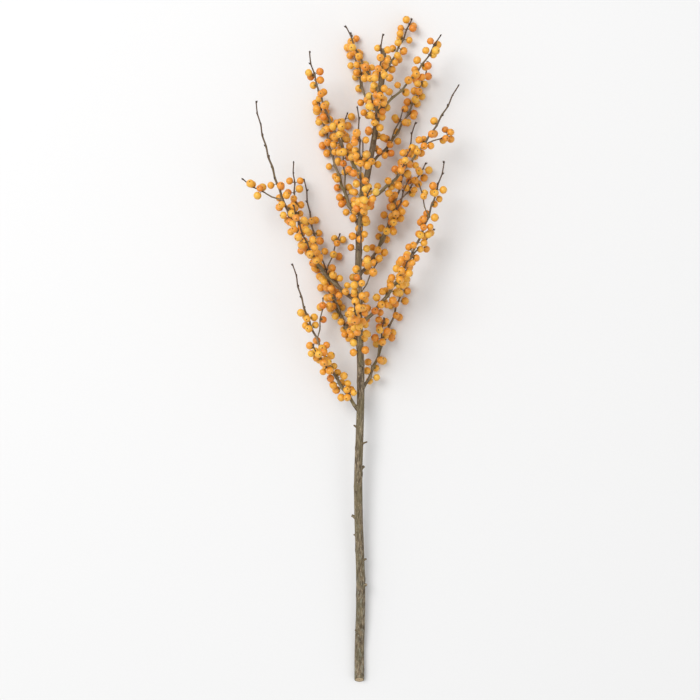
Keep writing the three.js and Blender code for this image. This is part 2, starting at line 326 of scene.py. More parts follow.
forks = []
for index, (at, lean, length, bare) in enumerate(SIDE_SHOOTS):
    turn = FIRST_SHOOT_TURN + TURN_PER_NODE * index
    forks.append({
        "name": f"side_shoot_{index + 1:02}",
        "at": at,
        "middle": leader_point(at),
        "heading": leaning_out(leader_heading(at), turn, radians(lean)),
        "radius": LEAST_RADIUS + THICKNESS_PER_LENGTH * length,
        "wood": leader_radius(at) / sin(radians(lean)),
        "length": length,
        "bare": bare,
        "share": at / BRANCH_LENGTH,
    })
for index, fork in enumerate(forks):
    upward = Vector(leader_heading(fork["at"]))
    upward -= upward.dot(fork["heading"]) * Vector(fork["heading"])
    upward.normalize()

    def crotch(s, out):
        """The web of wood between the leader and the upper side of the shoot."""
        places = [distance - COLLAR_SHAPE[0][0] for distance, _, _ in COLLAR_SHAPE]
        web = np.interp(s, places, [added for _, _, added in COLLAR_SHAPE])
        return fork["radius"] * web * (0.5 + 0.5 * out.dot(upward)) ** 2

    grow_stem(
        wood,
        [fork["middle"] + fork["heading"] * (fork["wood"] + distance) for distance, _, _ in COLLAR_SHAPE],
        [swell * fork["radius"] for _, swell, _ in COLLAR_SHAPE],
        COLLAR_FACETS,
        swelling=crotch,
        starts_at=COLLAR_GRAIN + index,
        shares=(fork["share"], fork["share"]),
    )

for corner in wood.verts:
    corner.co.z = max(0, corner.co.z)  # flat where it rests on the table


class Shade:
    """A value in a finish. Arithmetic on it adds Math nodes."""

    def __init__(self, finish, socket):
        self.finish = finish
        self.socket = socket

    def math(self, operation, *values):
        return self.finish.node("ShaderNodeMath", {"operation": operation}, dict(enumerate(values)))

    def __add__(self, other):
        return self.math("ADD", self, other)

    def __rsub__(self, other):
        return self.math("SUBTRACT", other, self)

    def __mul__(self, other):
        return self.math("MULTIPLY", self, other)

    __radd__ = __add__
    __rmul__ = __mul__

    def step(self, low, high):
        """0 below `low`, 1 above `high`, and smooth in between."""
        values = {"Value": self, "From Min": low, "From Max": high}
        return self.finish.node("ShaderNodeMapRange", {"interpolation_type": "SMOOTHSTEP"}, values)


class Finish:
    """A material, made up from nodes."""

    def __init__(self, name, constants):
        self.material = bpy.data.materials.new(name)
        self.material.use_nodes = True
        self.tree = self.material.node_tree
        self.surface = self.tree.nodes["Principled BSDF"]
        self.feed(self.surface, constants)

    def feed(self, node, values):
        for key, value in values.items():
            socket = node.inputs[key]
            if isinstance(value, Shade):
                self.tree.links.new(value.socket, socket)
            elif socket.type == "RGBA":
                socket.default_value = (*value, 1)
            else:
                socket.default_value = value

    def node(self, kind, settings, values, output=0):
        """Adds a node of this kind, with its settings, and a value or a link for each socket named."""
        made = self.tree.nodes.new(kind)
        for key, value in settings.items():
            if key == "stops":
                ramp = made.color_ramp.elements
                while len(ramp) < len(value):
                    ramp.new(1)
                for element, (position, colour) in zip(ramp, value):
                    element.position = position
                    element.color = (*colour, 1)
            else:
                setattr(made, key, value)
        self.feed(made, values)
        return Shade(self, made.outputs[output])

    def attribute(self, name, output):
        return self.node("ShaderNodeAttribute", {"attribute_name": name}, {}, output)

    def scaled(self, place, amounts):
        return self.node("ShaderNodeVectorMath", {"operation": "MULTIPLY"}, {0: place, 1: amounts})

    def noise(self, place, fineness, detail, roughness=0.5):
        """Noise that is repeated about `fineness` times a unit, along each axis of `place`."""
        place = self.scaled(place, fineness)
        values = {"Vector": place, "Scale": 1.0, "Detail": detail, "Roughness": roughness}
        return self.node("ShaderNodeTexNoise", {}, values)

    def blend(self, share, first, second):
        return self.node("ShaderNodeMix", {"data_type": "RGBA"}, {0: share, 6: first, 7: second}, 2)

    def bump(self, height, distance, strength):
        values = {"Height": height, "Distance": distance, "Strength": strength}
        return self.node("ShaderNodeBump", {}, values)


LICHEN = (0.30, 0.29, 0.22)
ALGAE = (0.082, 0.076, 0.044)
PORE_PALENESS = 1.35
FRESH_WOOD = (0.56, 0.43, 0.27)
RING_WOOD = (0.40, 0.28, 0.16)
FLECK_WOOD = (0.32, 0.23, 0.13)
PITH = (0.22, 0.14, 0.08)
PITH_RADIUS, PITH_EDGE = 0.0005, 0.0009
RING_FINENESS = 5200
RING_STRAY = 2.2
RING_SHARPNESS = 5


def bark_finish(name, dark, middle, pale, olive, tip, tip_from, lichen_below):
    """Streaks along the grain, pale pores, green-brown patches, lichen low down and a darker tip."""
    bark = Finish(name, {"Specular IOR Level": 0.3})
    grain = bark.attribute("grain", "Vector")
    share = bark.attribute("share", "Fac")
    fibre = bark.noise(grain, (1300, 1300, 110), detail=4, roughness=0.65)
    flakes = bark.noise(grain, (380, 380, 110), detail=3)
    patches = bark.noise(grain, (70, 70, 24), detail=2)
    cells = bark.scaled(grain, (480, 480, 210))
    pores = bark.node("ShaderNodeTexVoronoi", {}, {"Vector": cells, "Scale": 1.0, "Randomness": 1.0})
    pore = (1 - pores.step(0.12, 0.22)) * flakes.step(0.44, 0.56)
    colour = bark.blend(flakes.step(0.39, 0.64), dark, middle)
    colour = bark.blend(0.8 * fibre.step(0.48, 0.66), colour, pale)
    colour = bark.blend(0.55 * patches.step(0.42, 0.62), colour, olive)
    young = share.step(tip_from, 1.0)
    colour = bark.blend(0.85 * young, colour, tip)
    colour = bark.blend(0.7 * pore * (1 - 0.6 * young), colour, tuple(PORE_PALENESS * c for c in pale))
    crust = bark.noise(grain, (420, 420, 260), detail=4, roughness=0.6)
    low = 1 - share.step(0.25 * lichen_below, lichen_below)
    lichen = crust.step(0.55, 0.6) * low
    colour = bark.blend(0.7 * lichen, colour, LICHEN)
    algae = bark.noise(grain, (120, 120, 60), detail=3).step(0.45, 0.65) * low
    colour = bark.blend(0.4 * algae, colour, ALGAE)
    relief = 0.6 * fibre + 0.5 * pore + 0.5 * lichen + 0.3 * flakes
    bark.feed(bark.surface, {
        "Base Color": colour,
        "Roughness": 0.66 + 0.2 * fibre + 0.1 * lichen,
        "Normal": bark.bump(relief, 0.0005, 0.7),
    })
    return bark


leader_bark = bark_finish(
    "leader bark",
    dark=(0.062, 0.039, 0.021),
    middle=(0.205, 0.152, 0.088),
    pale=(0.480, 0.400, 0.285),
    olive=(0.150, 0.126, 0.062),
    tip=(0.140, 0.096, 0.056),
    tip_from=0.55,
    lichen_below=0.42,
)

cut_wood = Finish("cut wood", {"Specular IOR Level": 0.25})
grain = cut_wood.attribute("grain", "Vector")
across = cut_wood.scaled(grain, (1, 1, 0))
pith_distance = cut_wood.node("ShaderNodeVectorMath", {"operation": "LENGTH"}, {0: across}, "Value")
wander = cut_wood.noise(grain, (300, 300, 300), detail=2)
ring_phase = RING_FINENESS * pith_distance + RING_STRAY * wander
rings = 0.5 + 0.5 * ring_phase.math("SINE", ring_phase)
rings = rings.math("POWER", rings, RING_SHARPNESS)
fleck = cut_wood.noise(grain, (2600, 2600, 500), detail=3)
colour = cut_wood.blend(0.45 * rings, FRESH_WOOD, RING_WOOD)
colour = cut_wood.blend(0.5 * fleck.step(0.45, 0.7), colour, FLECK_WOOD)
colour = cut_wood.blend(1 - pith_distance.step(PITH_RADIUS, PITH_EDGE), colour, PITH)
cut_wood.feed(cut_wood.surface, {
    "Base Color": colour,
    "Roughness": 0.7 + 0.15 * fleck,
    "Normal": cut_wood.bump(fleck + 0.3 * rings, 0.0003, 0.6),
})


def sort_by_corners(elements):
    """Puts edges or faces in one order on every run, because extruding lists them in no fixed order."""
    ordered = sorted(elements, key=lambda element: sorted(corner.index for corner in element.verts))
    ranks = {element: rank for rank, element in enumerate(ordered)}
    elements.sort(key=lambda element: ranks[element])


def finished_piece(shape, name, *finishes):
    """Turns a bmesh into an object, with its faces outwards and its finishes in the order of their slots."""
    bmesh.ops.recalc_face_normals(shape, faces=shape.faces)
    shape.verts.index_update()
    sort_by_corners(shape.edges)
    sort_by_corners(shape.faces)
    mesh = bpy.data.meshes.new(name)
    shape.to_mesh(mesh)
    shape.free()
    for finish in finishes:
        mesh.materials.append(finish.material)
    piece = bpy.data.objects.new(name, mesh)
    bpy.context.scene.collection.objects.link(piece)
    return piece


leader_wood = finished_piece(wood, "leader_wood", leader_bark, cut_wood)
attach(leader_wood, "root")
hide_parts("leader")


# The side shoots are the last year's growth, set round the leader in a spiral. Each turns up to the light,
# zigzags a little at its nodes, and thins to a dark tip. Short side twigs branch off it, and a swollen
# cushion at each node carries a berry's stalk or a bud. Where a shoot meets the table it runs out along it.

INTERNODE = 0.014
TIP_RADIUS = 0.00075
PULL_TO_LIGHT = 0.085
WANDER = 0.06
ZIGZAG = 0.1
HALF_UP = 1e-6  # so that a half is rounded up, as the model does
TWIG_CLEARANCE = 0.0082
SETTLE_OVER = 0.026
TWIG_GAP = 0.0012
TURN_ASIDE = 0.26
TURNS_ASIDE = 5
FIRST_SIDE_TWIG = 3
SIDE_TWIG_EVERY = 4
SIDE_TWIG_SHARE = 0.34
SIDE_TWIG_SHARE_RANGE = 0.25
SIDE_TWIG_LEAN = radians(46)
SIDE_TWIG_THICKNESS = 0.62
SIDE_TWIG_BARE = 0.2
LEAST_TWIG = 0.034
LEAST_TWIG_POINTS = 3
TURN_RANGE = 0.7
SHOOT_SEED = 2028
MOST_PLACED = 4000

BERRY_RADIUS = 0.0041
BERRY_RADIUS_RANGE = 0.0009
FACET_SWELL = 1.08
STALK_RADIUS = 0.00065
STALK_LENGTH = 0.0016
STALK_LENGTH_RANGE = 0.0016
BERRY_GAP = 0.0003
BERRY_TILT = 0.3
TURN_UP = 0.25
TURNS_UP = 6
SET_DOWN_RANGE = 0.0015
LEADER_BERRIES_FROM = 0.430

MORE_BERRIES = [  # (steps up the shoot from a node, turn from its first berry, chance of a berry there)
    (0, 1.2, 0.9),
    (0, -1.2, 0.9),
    (0, 2.45, 0.75),
    (0, -2.45, 0.75),
    (0.5, 0.7, 0.65),
    (0.5, 1.9, 0.65),
    (0.5, 3.1, 0.65),
    (0.5, -1.9, 0.65),
]
MORE_BERRIES_SEED = 515
MORE_BERRIES_GAP = 0.00012
MORE_BERRIES_TILT = -0.15
MORE_BERRIES_TILT_RANGE = 0.75
MORE_BERRIES_TURN_RANGE = 0.3
CLUMPING = 1.1
CLUMP_STEPS = 0.45  # from node to node in the noise that makes some stretches heavier
CLUMP_STRIDE = 5.3  # from twig to twig
RIPE_SWELL = 1.06

SHOOT_FACETS = 10
RINGS_PER_INTERNODE = (0, 0.1, 0.28, 0.5, 0.72, 0.9)
BEND_EASING = 0.45
SHOOT_SWELL = 0.00009
SHOOT_SUNK = 0.0028
SHOOT_FLARE = (0.11, SHOOT_SUNK, 0.0045)  # (how far it stands out over the foot's radius, where, its reach)
SIDE_TWIG_FLARE = (0.3, 0, 0.0022)
NODE_HEIGHT = 0.1  # over the shoot's radius there, as is the cushions' height
CUSHION_HEIGHT = 0.34
CUSHION_LENGTH = 0.0019
SHOOT_GRAIN = 10  # where in the bark's pattern the first of them starts, in metres
SIDE_TWIG_GRAIN = 0.37
SIDE_TWIG_AGE = 0.45  # how young a side twig's foot looks, where a shoot's foot is 0 and its tip is 1


class Room:
    """What has been placed: stretches of wood, stalk or berry, each with a radius and an owner."""

    def __init__(self, most):
        self.count = 0
        self.starts = np.zeros((most, 3))
        self.spans = np.zeros((most, 3))
        self.radii = np.zeros(most)
        self.owners = np.zeros(most, "U16")

    def fill(self, start, end, radius, owner):
        """Adds one stretch, or a ball where it starts and ends at the same point."""
        self.starts[self.count] = start
        self.spans[self.count] = end - start
        self.radii[self.count] = radius
        self.owners[self.count] = owner
        self.count += 1

    def fill_with(self, twig):
        for start, end, radius in zip(twig["points"], twig["points"][1:], twig["radii"]):
            self.fill(start, end, radius, twig["owner"])

    def is_clear(self, point, radius, gap, owner="nobody"):
        """True if a ball touches nothing that isn't its owner's."""
        spans = self.spans[: self.count]
        away = point - self.starts[: self.count]
        lengths = (spans**2).sum(axis=1)
        shares = ((away * spans).sum(axis=1) / np.where(lengths > 0, lengths, 1)).clip(0, 1)
        distances = np.linalg.norm(away - shares[:, None] * spans, axis=1)
        clear = distances > radius + self.radii[: self.count] + gap
        return bool((clear | (self.owners[: self.count] == owner)).all())


DRAW_FACTOR, DRAW_RANGE = 16807, 2147483647


def seeded_draws(seed):
    """Numbers from 0 to 1, the same ones in the same order on every run."""
    state = seed

    def draw():
        nonlocal state
        state = state * DRAW_FACTOR % DRAW_RANGE
        return state / DRAW_RANGE

    return draw


def grow_twig(owner, root, heading, length, radius, draw, room):
    """A shoot's line: its points, radii and headings, one of each for every node."""
    twig = {"owner": owner, "points": [root], "radii": [radius], "headings": [heading]}
    count = round(length / INTERNODE + HALF_UP)
    going = heading.copy()
    swing = ZIGZAG if draw() < 0.5 else -ZIGZAG
    for node in range(1, count + 1):
        last = twig["points"][-1]
        going[1] += PULL_TO_LIGHT
        going[0] += WANDER * (draw() - 0.5)
        going[2] += WANDER * (draw() - 0.5)
        going[2] = max(going[2], -max(0, last[2] - TWIG_CLEARANCE) / SETTLE_OVER)
        going = unit(going)
        aside = unit(np.array((going[1], -going[0], 0)))
        step = INTERNODE * unit(going + swing * aside)
        swing = -swing
        reached = None
        for _ in range(TURNS_ASIDE):
            end = last + step
            end[2] = max(end[2], TWIG_CLEARANCE)
            if all(room.is_clear(point, radius, TWIG_GAP, owner) for point in ((last + end) / 2, end)):
                reached = end
                break
            step[2] += TURN_ASIDE * INTERNODE
            step = INTERNODE * unit(step)
        if reached is None:
            break
        twig["points"].append(reached)
        twig["radii"].append(mix(radius, TIP_RADIUS, node / count))
        twig["headings"].append(unit(reached - last))
    return twig


def grow_berry(twig, node, turn, draw, room, swell, gap, tilt):
    """A berry on its stalk, on the given side of a node or between two, or None if it has no room."""
    lower = int(node)
    upper = min(lower + 1, len(twig["points"]) - 1)
    part = node - lower
    radius = BERRY_RADIUS + BERRY_RADIUS_RANGE * draw()
    twig_radius = mix(twig["radii"][lower], twig["radii"][upper], part)
    reach = twig_radius + STALK_LENGTH + STALK_LENGTH_RANGE * draw() + radius
    resting = radius - FLAT_DEPTH
    root = mix(twig["points"][lower], twig["points"][upper], part)
    turn_up = -TURN_UP if cos(turn) < 0 else TURN_UP
    for tries in range(TURNS_UP):
        out = leaning_out(twig["headings"][lower], turn + turn_up * tries, pi / 2 - tilt)
        centre = root + reach * out
        if centre[2] < resting - SET_DOWN_RANGE:
            continue
        if centre[2] < resting + SET_DOWN_RANGE:
            centre[2] = resting
        clear = room.is_clear(centre, swell * radius, gap)
        if not clear or not room.is_clear((root + centre) / 2, STALK_RADIUS, gap, twig["owner"]):
            return None
        room.fill(centre, centre, swell * radius, "berry")
        room.fill(root, centre, STALK_RADIUS, twig["owner"])
        return {"root": root, "centre": centre, "radius": radius, "node": node}
    return None


def bear_berries(twig, first_node, draw, room):
    """One berry at each node that has room for it, and a bud at each node of the bare tip."""
    nodes = len(twig["points"]) - 1
    twig["turns"] = {}
    twig["berries"] = []
    twig["buds"] = []
    for node in range(first_node, nodes + 1):
        turn = TURN_PER_NODE * node + TURN_RANGE * draw()
        if node > nodes * (1 - twig["bare"]):
            twig["buds"].append((node, turn))
            continue
        twig["turns"][node] = turn
        berry = grow_berry(twig, node, turn, draw, room, FACET_SWELL, BERRY_GAP, BERRY_TILT)
        if berry:
            twig["berries"].append(berry)


room = Room(MOST_PLACED)
leader_count = round(BRANCH_LENGTH / LEADER_STEP)
leader_at = [i * BRANCH_LENGTH / leader_count for i in range(leader_count + 1)]
leader_line = {
    "owner": "leader",
    "points": [leader_point(s) for s in leader_at],
    "radii": [leader_radius(s) for s in leader_at],
    "headings": [leader_heading(s) for s in leader_at],
    "bare": 0,
}
room.fill_with(leader_line)
for fork in forks:
    fork["root"] = fork["middle"] + fork["heading"] * (fork["wood"] + COLLAR_LENGTH + JOIN_GAP)
    room.fill(fork["middle"], fork["root"], fork["radius"] * COLLAR_SWELL, fork["name"])

draw = seeded_draws(SHOOT_SEED)
shoots = []
for fork in forks:
    main = grow_twig(fork["name"], fork["root"], fork["heading"], fork["length"], fork["radius"], draw, room)
    main["bare"] = fork["bare"]
    room.fill_with(main)
    shoots.append([main])
for twigs in shoots:
    main = twigs[0]
    nodes = len(main["points"]) - 1
    node = FIRST_SIDE_TWIG
    while node < nodes * (1 - main["bare"]):
        length = (SIDE_TWIG_SHARE + SIDE_TWIG_SHARE_RANGE * draw()) * (nodes - node) * INTERNODE
        turn = TURN_PER_NODE * node + TURN_RANGE * draw()
        if length >= LEAST_TWIG:
            heading = leaning_out(main["headings"][node], turn, SIDE_TWIG_LEAN)
            radius = SIDE_TWIG_THICKNESS * main["radii"][node]
            twig = grow_twig(main["owner"], main["points"][node], heading, length, radius, draw, room)
            if len(twig["points"]) >= LEAST_TWIG_POINTS:
                twig["bare"] = SIDE_TWIG_BARE * draw()
                room.fill_with(twig)
                twigs.append(twig)
        node += SIDE_TWIG_EVERY

leader_line["points"].pop()  # the cut top bears nothing
bear_berries(leader_line, round(LEADER_BERRIES_FROM / LEADER_STEP), draw, room)
for main, *side_twigs in shoots:
    bear_berries(main, 1, draw, room)
    for twig in side_twigs:
        bear_berries(twig, 2, draw, room)

more = seeded_draws(MORE_BERRIES_SEED)
for number, twig in enumerate([leader_line] + [twig for twigs in shoots for twig in twigs]):
    for node, turn in twig["turns"].items():
        heavy = 1 + CLUMPING * noise.noise(Vector((CLUMP_STEPS * node, CLUMP_STRIDE * number, 0.5)))
        for steps, aside, chance in MORE_BERRIES:
            if more() < chance * heavy and node + steps < len(twig["points"]):
                tilt = MORE_BERRIES_TILT + MORE_BERRIES_TILT_RANGE * more()
                side = turn + aside + MORE_BERRIES_TURN_RANGE * (more() - 0.5)
                berry = grow_berry(
                    twig, node + steps, side, more, room, RIPE_SWELL, MORE_BERRIES_GAP, tilt
                )
                if berry:
                    twig["berries"].append(berry)


def rounded_line(points, parts):
    """More points on a zigzag line, `parts` of the way from each to the next, easing round its bends."""
    points = [Vector(point) for point in points]
    line = []
    for i, (start, end) in enumerate(zip(points, points[1:])):
        before = points[max(i - 1, 0)]
        after = points[min(i + 2, len(points) - 1)]
        for t in parts:
            pull = 0.5 * ((end - before) * (t * (1 - t) ** 2) - (after - start) * (t * t * (1 - t)))
            ease = 3 * t * t - 2 * t**3
            curved = start.lerp(end, ease) + pull
            line.append(start.lerp(end, t).lerp(curved, BEND_EASING))
    return line + [points[-1]]


def twig_wood(wood, twig, order, starts_at, shares):
    """One shoot or side twig, a little thicker at each node, with a cushion under every stalk and bud."""
    line = rounded_line(twig["points"], RINGS_PER_INTERNODE)
    nodes = range(len(twig["points"]))
    ring_nodes = [node + part for node in nodes[:-1] for part in RINGS_PER_INTERNODE] + [nodes[-1]]
    flare, flare_at, flare_length = SIDE_TWIG_FLARE
    if order == 0:
        line.insert(0, line[0] - SHOOT_SUNK * Vector(twig["headings"][0]))
        ring_nodes.insert(0, 0)
        flare, flare_at, flare_length = SHOOT_FLARE
    ring_at = np.cumsum([0] + [(end - start).length for start, end in zip(line, line[1:])])
    foot_radius = twig["radii"][0]

    cushions = [(node, None, NODE_HEIGHT) for node in nodes[1:]]
    for berry in twig["berries"]:
        cushions.append((berry["node"], Vector(unit(berry["centre"] - berry["root"])), CUSHION_HEIGHT))
    for node, turn in twig["buds"]:
        cushions.append((node, Vector(leaning_out(twig["headings"][node], turn, pi / 2)), CUSHION_HEIGHT))
    cushions = [
        (np.interp(node, ring_nodes, ring_at), out, height * np.interp(node, nodes, twig["radii"]))
        for node, out, height in cushions
    ]

    def swelling(s, out):
        """Fine bumps, the flare of the foot, the swell at each node and the cushions on their own sides."""
        proud = SHOOT_SWELL * noise.noise(Vector((900 * s, 2 * out.x + starts_at, 2 * out.z)))
        proud += flare * foot_radius * exp(-(((s - flare_at) / flare_length) ** 2))
        for cushion_at, cushion_out, height in cushions:
            if abs(s - cushion_at) < 3 * CUSHION_LENGTH:
                facing = 1 if cushion_out is None else max(0, out.dot(cushion_out))
                proud += height * facing**2 * exp(-(((s - cushion_at) / CUSHION_LENGTH) ** 2))
        return proud

    grow_stem(
        wood,
        line,
        np.interp(ring_nodes, nodes, twig["radii"]),
        SHOOT_FACETS,
        swelling=swelling,
        facing=twig["headings"][0],
        starts_at=starts_at,
        shares=shares,
    )


shoot_bark = bark_finish(
    "shoot bark",
    dark=(0.108, 0.075, 0.045),
    middle=(0.240, 0.180, 0.108),
    pale=(0.430, 0.350, 0.230),
    olive=(0.235, 0.195, 0.080),
    tip=(0.095, 0.055, 0.040),
    tip_from=0.35,
    lichen_below=0.01,  # as good as none, on wood of the last year
)


# The buds sit at the nodes of the bare tips, one more at the end of each twig, and small ones beside the
# berries' stalks. They are short, blunt and dark brown, with a few close scales.

BUD = 1  # its finish's place on a shoot's wood
BUD_SEED = 77
BUD_FACETS = 6
BUD_SHAPE = [  # (height over the bud's length, radius over the bud's)
    (-0.25, 0.6),
    (0.0, 0.95),
    (0.3, 1.0),
    (0.62, 0.74),
    (0.86, 0.38),
    (1.0, 0.1),
]
BUD_LEAN = radians(35)
BUD_LENGTH = 0.0029
BUD_RADIUS = 0.0010
BUD_FOOT = 0.75  # how far out its foot is, over the shoot's radius
END_BUD_SUNK = 0.0003
END_BUD_WIDTH = 1.15
SMALL_BUD_LENGTH = 0.0017
SMALL_BUD_RADIUS = 0.00068
SMALL_BUD_FOOT = 0.9
SMALL_BUD_ASIDE = 0.4
SMALL_BUD_UP = 0.0014
SMALL_BUD_CHANCE = 0.5

bud_scales = Finish("bud scales", {"Specular IOR Level": 0.4})
place = bud_scales.node("ShaderNodeTexCoord", {}, {}, "Object")
speckle = bud_scales.noise(place, (1500, 1500, 1500), detail=3)
edge = bud_scales.noise(place, (700, 700, 700), detail=1)
colour = bud_scales.blend(speckle.step(0.4, 0.65), (0.030, 0.018, 0.013), (0.085, 0.050, 0.030))
colour = bud_scales.blend(0.6 * edge.step(0.55, 0.7), colour, (0.16, 0.11, 0.07))
bud_scales.feed(bud_scales.surface, {
    "Base Color": colour,
    "Roughness": 0.55 + 0.2 * speckle,
    "Normal": bud_scales.bump(speckle + edge, 0.0002, 0.7),
})


def grow_bud(wood, foot, axis, length, radius):
    first = len(wood.faces)
    points = [foot + axis * (height * length) for height, _ in BUD_SHAPE]
    grow_stem(wood, points, [width * radius for _, width in BUD_SHAPE], BUD_FACETS, shares=(1, 1))
    wood.faces.ensure_lookup_table()
    for face in wood.faces[first:]:
        face.material_index = BUD


def twig_buds(wood, twig, draw):
    """A bud at each node of the bare tip and at the twig's end, and small ones beside some of the stalks."""
    for node, turn in twig["buds"]:
        heading = twig["headings"][node]
        foot = twig["points"][node] + BUD_FOOT * twig["radii"][node] * leaning_out(heading, turn, pi / 2)
        grow_bud(wood, foot, leaning_out(heading, turn, BUD_LEAN), BUD_LENGTH, BUD_RADIUS)
    for node, turn in twig["turns"].items():
        if draw() < SMALL_BUD_CHANCE:
            heading = twig["headings"][node]
            out = leaning_out(heading, turn + SMALL_BUD_ASIDE, pi / 2)
            foot = twig["points"][node] + SMALL_BUD_FOOT * twig["radii"][node] * out + SMALL_BUD_UP * heading
            axis = leaning_out(heading, turn + SMALL_BUD_ASIDE, BUD_LEAN)
            grow_bud(wood, foot, axis, SMALL_BUD_LENGTH, SMALL_BUD_RADIUS)
    end = twig["points"][-1] - END_BUD_SUNK * twig["headings"][-1]
    grow_bud(wood, end, twig["headings"][-1], BUD_LENGTH, END_BUD_WIDTH * twig["radii"][-1])


# The stalks are thin and short, brown at the twig and green-brown at the berry, where each widens into the
# small withered star that the flower left.

STALK = 2  # its finish's place on a shoot's wood
STALK_FACETS = 5
STALK_END = 0.97  # how far from the berry's middle the stalk ends, over the berry's radius
STALK_SHAPE = [  # (height from the root, as a share of the stalk; radius in metres)
    (0.0, 0.00065),
    (0.45, 0.00045),
    (0.85, 0.00047),
    (0.97, 0.00065),
    (1.02, 0.0016),
    (1.06, 0.0011),
]

stalk_skin = Finish("stalk skin", {"Specular IOR Level": 0.35})
place = stalk_skin.node("ShaderNodeTexCoord", {}, {}, "Object")
share = stalk_skin.attribute("share", "Fac")
speckle = stalk_skin.noise(place, (1200, 1200, 1200), detail=3)
colour = stalk_skin.blend(share.step(0.3, 0.9), (0.105, 0.066, 0.036), (0.190, 0.150, 0.050))
colour = stalk_skin.blend(0.7 * speckle.step(0.5, 0.7), colour, (0.075, 0.050, 0.030))
stalk_skin.feed(stalk_skin.surface, {
    "Base Color": colour,
    "Roughness": 0.6 + 0.2 * speckle,
    "Normal": stalk_skin.bump(speckle, 0.0002, 0.6),
})


def grow_stalk(wood, berry):
    first = len(wood.faces)
    out = berry["centre"] - berry["root"]
    length = np.linalg.norm(out) - STALK_END * berry["radius"]
    points = [berry["root"] + unit(out) * (height * length) for height, _ in STALK_SHAPE]
    grow_stem(wood, points, [radius for _, radius in STALK_SHAPE], STALK_FACETS)
    wood.faces.ensure_lookup_table()
    for face in wood.faces[first:]:
        face.material_index = STALK


# The wood of a shoot and its side twigs is one piece with its buds and its berries' stalks.
bud_draw = seeded_draws(BUD_SEED)
for index, (fork, twigs) in enumerate(zip(forks, shoots)):
    wood = new_wood()
    for order, twig in enumerate(twigs):
        starts_at = SHOOT_GRAIN + index + SIDE_TWIG_GRAIN * order
        twig_wood(wood, twig, order, starts_at, shares=(0 if order == 0 else SIDE_TWIG_AGE, 1))
    for twig in twigs:
        twig_buds(wood, twig, bud_draw)
        for berry in twig["berries"]:
            grow_stalk(wood, berry)
    shoot = finished_piece(wood, f"{fork['name']}_wood", shoot_bark, bud_scales, stalk_skin)
    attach(shoot, "root")
    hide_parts(fork["name"])


# The berries are round drupes, nine to ten and a half millimetres across, in a thin satin skin over pulp.
# Most are golden orange, some deeper or yellower. Each has a small dark scar at the end away from its stalk.

BERRY_FACETS = 12
BERRY_RINGS = [  # (degrees from the scar, distance from the middle)
    (0, 0.955),
    (9, 0.992),
    (35, 1.0),
    (64, 1.01),
    (92, 1.012),
    (121, 1.01),
    (151, 1.0),
    (180, 0.94),
]
BERRY_OBLATE = 0.965
BERRY_WIDTHS = (0.98, 1.02)
BERRY_LENGTHS = (0.97, 1.02)
BERRY_HANG_RANGE = 0.3
BERRY_SEED = 4111

YELLOW_BLUSH = (0.86, 0.47, 0.080)
DEEP_BLUSH = (0.66, 0.185, 0.014)
GREEN_FOOT = (0.30, 0.24, 0.05)
BROWN_RING = (0.42, 0.21, 0.020)
SCAR = (0.028, 0.014, 0.008)

berry_skin = Finish("berry skin", {
    "Subsurface Weight": 0.12,
    "Subsurface Radius": (0.0030, 0.0012, 0.0004),
    "Subsurface Scale": 1.0,
    "Specular IOR Level": 0.58,
})
fruit = berry_skin.attribute("fruit", "Vector")
tint = berry_skin.attribute("tint", "Fac")
colour = berry_skin.node("ShaderNodeValToRGB", {"stops": [
    (0.0, (0.85, 0.480, 0.050)),
    (0.35, (0.83, 0.395, 0.030)),
    (0.75, (0.79, 0.310, 0.020)),
    (0.97, (0.73, 0.225, 0.014)),
    (1.0, (0.75, 0.46, 0.060)),
]}, {0: tint})
shifted = berry_skin.node("ShaderNodeVectorMath", {"operation": "ADD"}, {0: fruit, 1: 90 * tint})
blush = berry_skin.noise(shifted, (1.1, 1.1, 1.1), detail=2)
fine = berry_skin.noise(shifted, (9, 9, 9), detail=3)
colour = berry_skin.blend(0.35 * blush.step(0.45, 0.7), colour, YELLOW_BLUSH)
colour = berry_skin.blend(0.25 * (1 - blush.step(0.3, 0.5)), colour, DEEP_BLUSH)
height = berry_skin.node("ShaderNodeSeparateXYZ", {}, {0: fruit}, "Z")
colour = berry_skin.blend(0.5 * (1 - height.step(-0.98, -0.82)), colour, GREEN_FOOT)
flat = berry_skin.scaled(fruit, (1, 1, 0))
from_axis = berry_skin.node("ShaderNodeVectorMath", {"operation": "LENGTH"}, {0: flat}, "Value")
top_half = height.step(0, 0.1)
scar = (1 - (from_axis + 0.05 * fine).step(0.14, 0.21)) * top_half
brown_ring = (1 - (from_axis + 0.12 * fine).step(0.2, 0.42)) * top_half
colour = berry_skin.blend(0.45 * brown_ring, colour, BROWN_RING)
colour = berry_skin.blend(0.93 * scar, colour, SCAR)
berry_skin.feed(berry_skin.surface, {
    "Base Color": colour,
    "Roughness": 0.31 + 0.14 * fine + 0.3 * scar,
    "Normal": berry_skin.bump(0.3 * fine + scar, 0.00025, 0.35),
})

